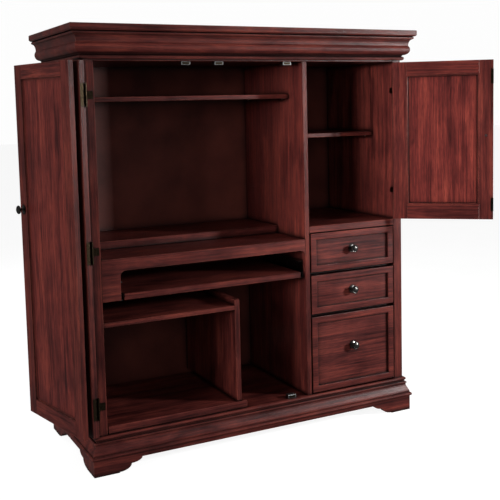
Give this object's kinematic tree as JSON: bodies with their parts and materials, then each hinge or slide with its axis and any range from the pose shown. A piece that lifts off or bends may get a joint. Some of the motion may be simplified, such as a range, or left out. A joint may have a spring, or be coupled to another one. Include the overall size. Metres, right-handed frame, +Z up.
{
  "type": "computer armoire desk",
  "caption": "Wooden computer armoire: desk bay with sliding keyboard and printer trays behind folding doors, and a column with a small cupboard over drawers.",
  "frame": {"origin": "under the middle of the whole object's box with the doors open as stored, on the floor", "axes": "+X to the right seen from the front, +Y towards the back, +Z up"},
  "size_m": [1.7156, 0.8084, 1.547],
  "materials": {
    "cherry_wood": "dark red cherry veneer, satin lacquer",
    "cherry_wood_inside": "dark stained inside, satin",
    "cherry_panel": "dark red cherry veneer, satin lacquer",
    "back_panel_board": "dark stained board, matte",
    "dark_pewter": "antique pewter",
    "dark_bronze": "antique bronze",
    "zinc_steel": "zinc plated"
  },
  "bodies": {
    "carcass": {"left_side": "cherry_wood", "right_side": "cherry_wood", "top_board": "cherry_wood", "ceiling_board": "cherry_wood_inside", "centre_divider": "cherry_wood", "bottom_board": "cherry_wood", "drawer_bay_floor": "cherry_wood_inside", "back_panel": "back_panel_board", "cornice": "cherry_wood", "plinth": "cherry_wood", "upper_shelf": "cherry_wood", "monitor_platform": "cherry_wood", "worktop": "cherry_wood", "worktop_apron": "cherry_wood", "printer_shelf": "cherry_wood", "lower_partition": "cherry_wood", "tray_hanger": "cherry_wood_inside", "tray_slide_left": "zinc_steel", "tray_slide_right": "zinc_steel", "cupboard_floor": "cherry_wood", "cupboard_shelf": "cherry_wood", "dust_panel_upper": "cherry_wood_inside", "dust_panel_lower": "cherry_wood_inside", "left_hinge_1_wing": "dark_bronze", "left_hinge_2_wing": "dark_bronze", "left_hinge_3_wing": "dark_bronze", "right_hinge_1_wing": "dark_bronze", "right_hinge_2_wing": "dark_bronze", "magnetic_catch_1": "zinc_steel", "magnetic_catch_2": "zinc_steel", "magnetic_catch_3": "zinc_steel"},
    "left_door_leaf_a": {"leaf_a_frame": "cherry_wood", "leaf_a_panel": "cherry_panel", "leaf_a_knob": "dark_pewter", "leaf_a_hinge_1_wing": "dark_bronze", "leaf_a_hinge_2_wing": "dark_bronze", "leaf_a_hinge_3_wing": "dark_bronze", "fold_hinge_1_wing_a": "dark_bronze", "fold_hinge_2_wing_a": "dark_bronze"},
    "left_door_leaf_b": {"leaf_b_frame": "cherry_wood", "leaf_b_panel": "cherry_panel", "leaf_b_knob": "dark_pewter", "fold_hinge_1_wing_b": "dark_bronze", "fold_hinge_2_wing_b": "dark_bronze"},
    "right_door": {"right_door_frame": "cherry_wood", "right_door_panel": "cherry_panel", "right_door_knob": "dark_pewter", "right_door_hinge_1_wing": "dark_bronze", "right_door_hinge_2_wing": "dark_bronze"},
    "keyboard_tray": {"keyboard_tray": "cherry_wood"},
    "printer_tray": {"printer_tray": "cherry_wood"},
    "drawer_1": {"drawer_1_front": "cherry_wood", "drawer_1_box": "cherry_wood_inside", "drawer_1_knob": "dark_pewter"},
    "drawer_2": {"drawer_2_front": "cherry_wood", "drawer_2_box": "cherry_wood_inside", "drawer_2_knob": "dark_pewter"},
    "drawer_3": {"drawer_3_front": "cherry_wood", "drawer_3_box": "cherry_wood_inside", "drawer_3_knob": "dark_pewter"}
  },
  "joints": [
    {"name": "left_door_hinge", "type": "hinge", "parent": "carcass", "child": "left_door_leaf_a", "pos_m": [-0.69204, -0.14903, 0.781], "axis": [0, 0, -1], "range_deg": [-257, 0]},
    {"name": "left_door_fold", "type": "hinge", "parent": "left_door_leaf_a", "child": "left_door_leaf_b", "pos_m": [-0.81204, 0.26406, 0.775], "axis": [0, 0, 1], "range_deg": [-178.8, 0]},
    {"name": "right_door_hinge", "type": "hinge", "parent": "carcass", "child": "right_door", "pos_m": [0.56066, -0.13103, 1.1135], "axis": [0, 0, 1], "range_deg": [-139, 36]},
    {"name": "keyboard_tray_slide", "type": "slide", "parent": "carcass", "child": "keyboard_tray", "axis": [0, -1, 0], "range_m": [0, 0.3]},
    {"name": "printer_tray_slide", "type": "slide", "parent": "carcass", "child": "printer_tray", "axis": [0, -1, 0], "range_m": [0, 0.25]},
    {"name": "drawer_1_slide", "type": "slide", "parent": "carcass", "child": "drawer_1", "axis": [0, -1, 0], "range_m": [0, 0.32]},
    {"name": "drawer_2_slide", "type": "slide", "parent": "carcass", "child": "drawer_2", "axis": [0, -1, 0], "range_m": [0, 0.32]},
    {"name": "drawer_3_slide", "type": "slide", "parent": "carcass", "child": "drawer_3", "axis": [0, -1, 0], "range_m": [0, 0.32]}
  ],
  "couplings": [
    {"joint": "left_door_fold", "follows": "left_door_hinge", "ratio": 0.6957}
  ]
}
